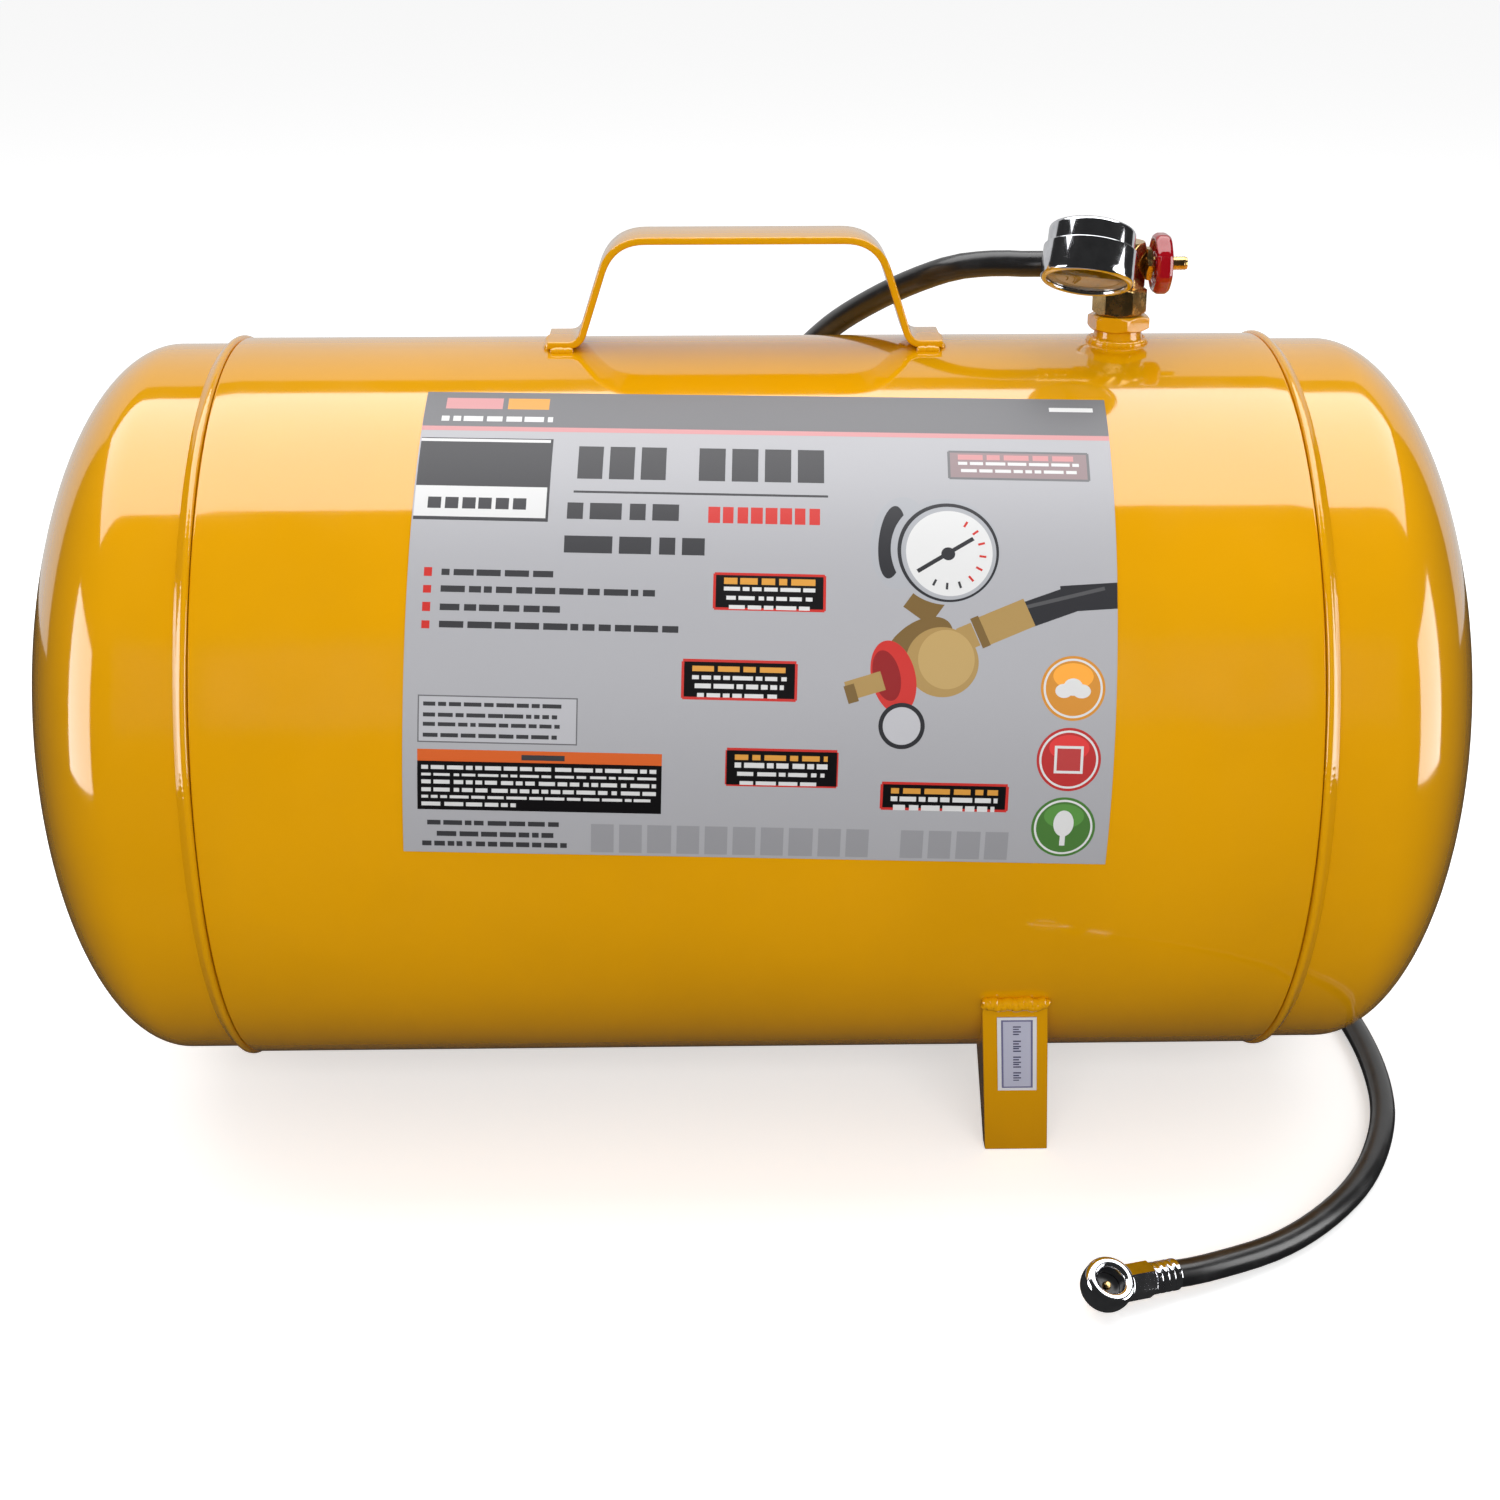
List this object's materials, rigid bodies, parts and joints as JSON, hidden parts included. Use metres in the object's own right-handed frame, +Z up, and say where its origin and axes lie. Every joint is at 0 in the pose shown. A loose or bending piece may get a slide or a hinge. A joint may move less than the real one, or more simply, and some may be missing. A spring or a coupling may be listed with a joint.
{
  "type": "air receiver tank",
  "caption": "Portable air receiver tank: lying cylinder with domed heads, strap handle, sheet feet, brass manifold with valve, gauge and relief valve, and a hose with a chuck.",
  "frame": {"origin": "on the floor under the middle of the tank's box, measured without the hose and its chuck", "axes": "+X along the tank's axis towards the manifold end, +Z up, -Y towards the labelled front"},
  "size_m": [0.5942, 0.438, 0.3828],
  "materials": {
    "yellow_paint": "gloss",
    "brass": "polished",
    "chrome": "polished",
    "spring_steel": "plain",
    "red_enamel": "gloss",
    "black_rubber": "satin",
    "label_film": null,
    "dial_white": "matte",
    "needle_black": "matte",
    "lens_clear": "clear"
  },
  "bodies": {
    "tank": {"bourdon_tube": "brass", "chuck_body": "chrome", "chuck_ferrule": "chrome", "chuck_seal": "black_rubber", "chuck_spring": "spring_steel", "foot_label": "label_film", "front_foot": "yellow_paint", "front_foot_weld": "yellow_paint", "front_label": "label_film", "gauge_bezel": "chrome", "gauge_case": "chrome", "gauge_dial": "dial_white", "gauge_lens": "lens_clear", "gauge_socket": "brass", "handle": "yellow_paint", "hose": "black_rubber", "hose_ferrule": "brass", "hose_fitting": "brass", "left_girth_weld": "yellow_paint", "left_head": "yellow_paint", "manifold_body": "brass", "movement_plate": "brass", "packing_ring": "black_rubber", "rear_left_foot": "yellow_paint", "rear_left_foot_weld": "yellow_paint", "rear_right_foot": "yellow_paint", "rear_right_foot_weld": "yellow_paint", "relief_body": "brass", "relief_spring": "spring_steel", "right_girth_weld": "yellow_paint", "right_head": "yellow_paint", "shell": "yellow_paint", "tank_bung": "yellow_paint", "valve_bonnet": "brass"},
    "seat": {"seat_disc": "black_rubber"},
    "spindle": {"valve_spindle": "brass", "handwheel": "red_enamel", "handwheel_nut": "spring_steel", "fill_core": "brass", "fill_core_spring": "spring_steel"},
    "fill_pin": {"fill_core_pin": "brass"},
    "sector": {"sector_gear": "brass"},
    "needle": {"pinion": "brass", "gauge_needle": "needle_black"},
    "relief_stem": {"relief_stem": "brass"},
    "pull_ring": {"pull_ring": "chrome"},
    "chuck_pin": {"chuck_pin": "brass"}
  },
  "joints": [
    {"name": "valve_travel", "type": "slide", "parent": "tank", "child": "seat", "axis": [1, 0, 0], "range_m": [0, 0.00225]},
    {"name": "valve_turn", "type": "hinge", "parent": "seat", "child": "spindle", "pos_m": [0.1508, 0, 0.357], "axis": [1, 0, 0], "range_deg": [0, 540]},
    {"name": "fill_core_push", "type": "slide", "parent": "spindle", "child": "fill_pin", "axis": [-1, 0, 0], "range_m": [0, 0.0012], "stiffness_N_per_m": 150, "springref_m": -0.002},
    {"name": "sector_swing", "type": "hinge", "parent": "tank", "child": "sector", "pos_m": [0.14231, -0.03461, 0.36661], "axis": [-0.143, -0.4348, -0.8891], "range_deg": [0, 54], "stiffness_Nm_per_rad": 0.0005, "springref_deg": -17.19},
    {"name": "needle_swing", "type": "hinge", "parent": "tank", "child": "needle", "pos_m": [0.1331, -0.0291, 0.3654], "axis": [0.143, 0.4348, 0.8891], "range_deg": [0, 270]},
    {"name": "relief_pull", "type": "slide", "parent": "tank", "child": "relief_stem", "axis": [0, 1, 0], "range_m": [0, 0.0025], "stiffness_N_per_m": 400, "springref_m": -0.003},
    {"name": "ring_swing", "type": "hinge", "parent": "relief_stem", "child": "pull_ring", "pos_m": [0.1508, 0.03705, 0.3555], "axis": [1, 0, 0], "range_deg": [-35, 60]},
    {"name": "chuck_press", "type": "slide", "parent": "tank", "child": "chuck_pin", "axis": [-0.264, 0.4763, -0.8387], "range_m": [0, 0.0012], "stiffness_N_per_m": 150, "springref_m": -0.002}
  ],
  "couplings": [
    {"joint": "valve_turn", "follows": "valve_travel", "rad_per_m": 4188.8},
    {"joint": "needle_swing", "follows": "sector_swing", "ratio": 5}
  ]
}
